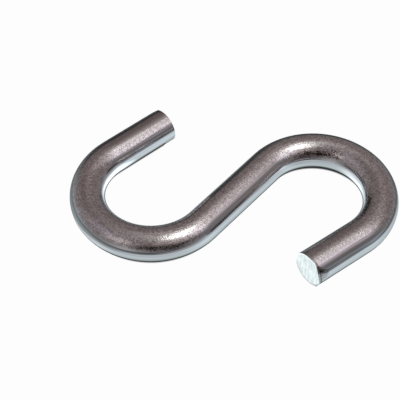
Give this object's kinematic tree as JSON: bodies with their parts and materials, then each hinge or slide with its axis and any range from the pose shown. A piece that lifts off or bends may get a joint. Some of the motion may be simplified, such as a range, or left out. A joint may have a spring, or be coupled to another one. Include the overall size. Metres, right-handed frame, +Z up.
{
  "type": "s hook",
  "caption": "S-shaped hook of bent round steel wire with open bowls facing opposite ways, for hanging one thing from another.",
  "frame": {"origin": "below the middle of the hook's box, on the surface that the hook lies on", "axes": "+X along the load line from the left bowl to the right bowl, +Z up, square to the plane of the S"},
  "size_m": [0.0744, 0.0476, 0.008],
  "materials": {
    "zinc_plate": "bright zinc plate on cold-drawn steel wire, satin with a fine grain"
  },
  "bodies": {
    "root": {"s_hook": "zinc_plate"}
  },
  "joints": []
}
